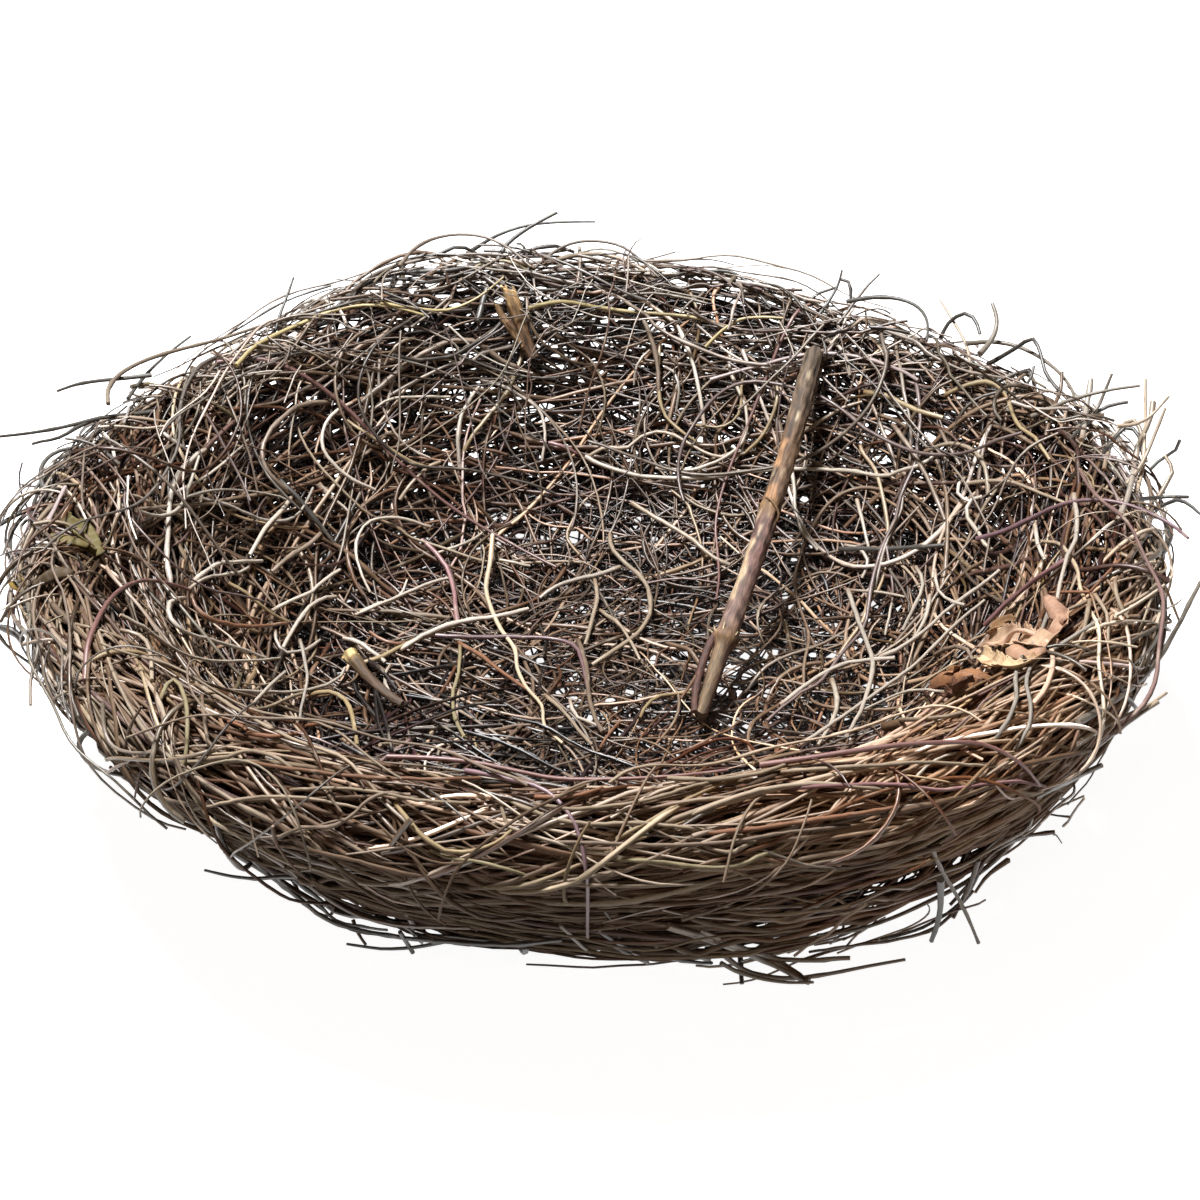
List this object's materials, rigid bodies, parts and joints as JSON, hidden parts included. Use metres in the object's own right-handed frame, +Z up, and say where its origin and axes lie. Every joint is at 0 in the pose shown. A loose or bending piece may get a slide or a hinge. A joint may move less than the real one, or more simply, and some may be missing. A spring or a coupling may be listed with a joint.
{
  "type": "empty bird nest",
  "caption": "Round, open cup nest woven of thin dry twigs, with a springy rim, a stick leaning in the cup, dead leaves and loose twig ends standing out.",
  "frame": {"origin": "centre of the flat underside, which rests on a surface", "axes": "+Z up, out of the open cup; -Y towards the viewer of the picture, +X to the viewer's right"},
  "size_m": [0.3422, 0.329, 0.1066],
  "materials": {
    "woven_twigs": "dry, weathered bark, matte",
    "stick_bark": "brown bark, partly peeled, matte",
    "brown_twig": "dry bark, matte",
    "dark_twig": "dark bark, matte",
    "red_twig": "thin reddish bark, satin",
    "purple_twig": "thin purplish bark, satin",
    "ochre_twig": "peeled, straw-coloured, satin",
    "tan_leaf": "dry leaf, matte",
    "rust_leaf": "dry leaf, matte",
    "olive_leaf": "dry leaf, matte"
  },
  "bodies": {
    "root": {"woven_wall": "woven_twigs", "thick_stick": "stick_bark", "broken_stub": "ochre_twig", "knobbed_twig": "brown_twig", "dark_leaf": "rust_leaf", "dry_leaf": "tan_leaf", "dry_leaf_tip": "rust_leaf", "ochre_leaf": "olive_leaf", "olive_leaf": "olive_leaf", "pale_stem": "ochre_twig", "purple_twig_front": "purple_twig", "purple_twig_right": "purple_twig", "red_arc_front_right": "red_twig", "red_arch_left": "red_twig", "red_twig_left": "red_twig", "red_twig_front": "red_twig", "red_twig_right": "red_twig", "yellow_twig_back": "ochre_twig", "yellow_twig_left": "ochre_twig", "yellow_twig_back_left": "ochre_twig", "yellow_twig_back_right": "ochre_twig", "stray_back_1": "dark_twig", "stray_back_10": "ochre_twig", "stray_back_2": "dark_twig", "stray_back_3": "dark_twig", "stray_back_4": "brown_twig", "stray_back_5": "brown_twig", "stray_back_6": "dark_twig", "stray_back_7": "dark_twig", "stray_back_8": "brown_twig", "stray_back_9": "dark_twig", "stray_front_1": "brown_twig", "stray_front_2": "dark_twig", "stray_front_3": "brown_twig", "stray_front_4": "dark_twig", "stray_front_5": "brown_twig", "stray_front_6": "brown_twig", "stray_front_7": "dark_twig", "stray_front_8": "dark_twig", "stray_left_1": "dark_twig", "stray_left_2": "dark_twig", "stray_left_3": "dark_twig", "stray_left_4": "brown_twig", "stray_left_5": "brown_twig", "stray_left_6": "dark_twig", "stray_left_7": "dark_twig", "stray_left_8": "ochre_twig", "stray_left_9": "brown_twig", "stray_right_1": "brown_twig", "stray_right_10": "ochre_twig", "stray_right_2": "dark_twig", "stray_right_3": "dark_twig", "stray_right_4": "dark_twig", "stray_right_5": "dark_twig", "stray_right_6": "brown_twig", "stray_right_7": "brown_twig", "stray_right_8": "ochre_twig", "stray_right_9": "dark_twig"}
  },
  "joints": []
}
